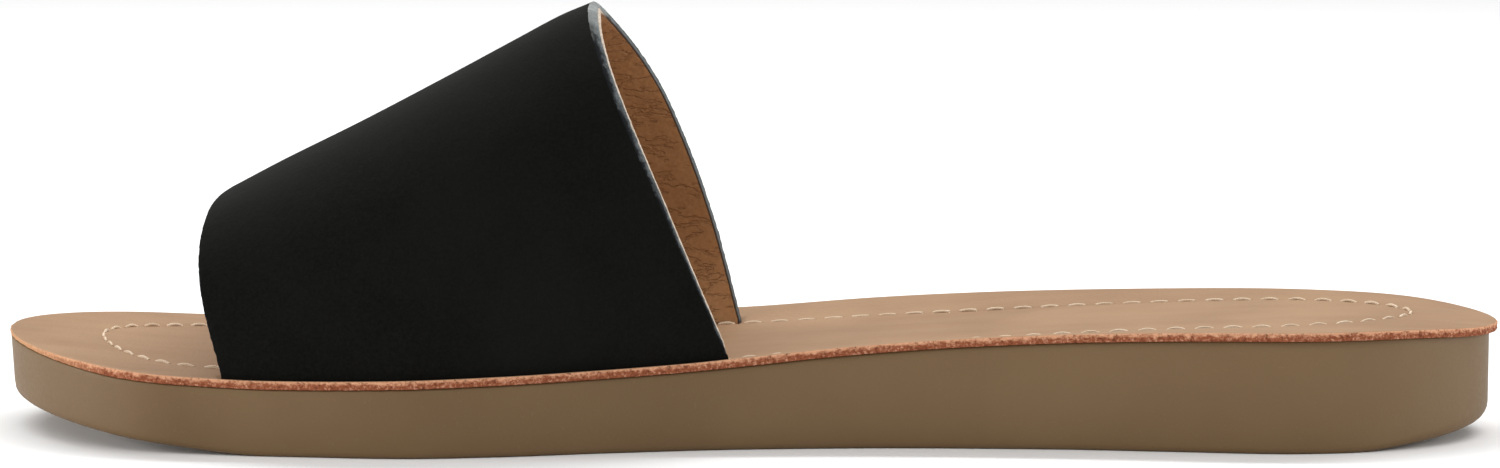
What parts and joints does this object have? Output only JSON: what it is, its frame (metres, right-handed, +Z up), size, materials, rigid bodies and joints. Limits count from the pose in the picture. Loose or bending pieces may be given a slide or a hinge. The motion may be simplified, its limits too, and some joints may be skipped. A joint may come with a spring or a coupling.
{
  "type": "slide sandal",
  "caption": "Flat slide sandal for the right foot: one wide strap over the instep, a stitched leather insole and a one-piece moulded sole.",
  "frame": {"origin": "on the floor, under the middle of the sandal's bounding box", "axes": "+X runs from the toe to the heel, +Y from the inner side to the outer side, +Z up"},
  "size_m": [0.2554, 0.092, 0.0732],
  "materials": {
    "sole": "matte moulded taupe",
    "insole": "smooth tan with a raw terracotta edge",
    "strap": "matte black nubuck, brown grained lining"
  },
  "bodies": {
    "root": {"sole": "sole", "insole": "insole", "strap": "strap"}
  },
  "joints": []
}
